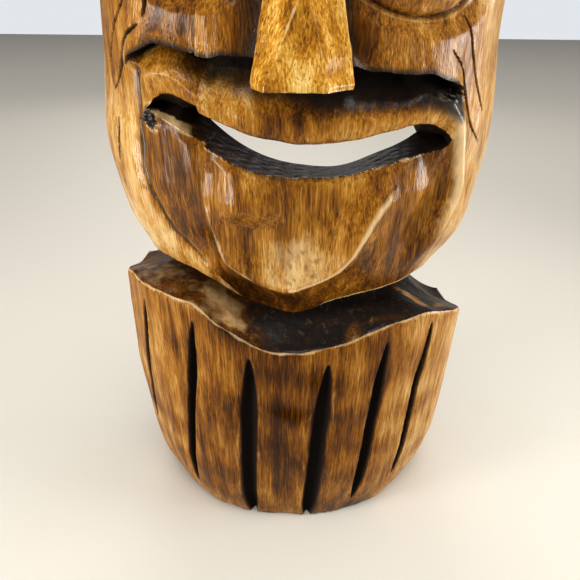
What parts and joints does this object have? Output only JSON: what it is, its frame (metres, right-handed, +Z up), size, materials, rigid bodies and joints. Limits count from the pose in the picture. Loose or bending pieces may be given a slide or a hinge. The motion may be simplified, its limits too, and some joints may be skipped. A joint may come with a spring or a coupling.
{
  "type": "carved tiki figure",
  "caption": "Free-standing carved wood tiki figure with hollow-backed smiling mask head, wedge nose, leaf crest, fluted half-round plinth and a swinging wall-hanging ring.",
  "frame": {"origin": "middle of the footprint of the bounding box, on the table plane", "axes": "+Z up along the figure, the face looks along -Y, the flat back faces +Y, +X is to the right of a viewer in front"},
  "size_m": [0.2729, 0.132, 0.6],
  "materials": {
    "plinth_wood": "dark walnut-brown stain under gloss varnish, blackened grooves and top",
    "head_wood": "mottled orange-brown stain under gloss varnish, blackened recesses",
    "nose_wood": "orange-yellow stain under gloss varnish",
    "crest_wood": "dark walnut-brown stain under gloss varnish, blackened grooves",
    "dowel_wood": "raw hardwood",
    "hanger_brass": "dulled plated brass",
    "screw_steel": "plated steel"
  },
  "bodies": {
    "figure": {"plinth": "plinth_wood", "head": "head_wood", "nose": "nose_wood", "crest": "crest_wood", "neck_dowel_left": "dowel_wood", "neck_dowel_right": "dowel_wood", "crest_dowel_left": "dowel_wood", "crest_dowel_right": "dowel_wood", "nose_dowel_lower": "dowel_wood", "nose_dowel_upper": "dowel_wood", "hanger_strap": "hanger_brass", "hanger_screw_lower": "screw_steel", "hanger_screw_upper": "screw_steel"},
    "ring": {"hanger_ring": "hanger_brass"}
  },
  "joints": [
    {"name": "ring_swing", "type": "hinge", "parent": "figure", "child": "ring", "pos_m": [0, 0.05915, 0.449], "axis": [1, 0, 0], "range_deg": [0, 160]}
  ]
}
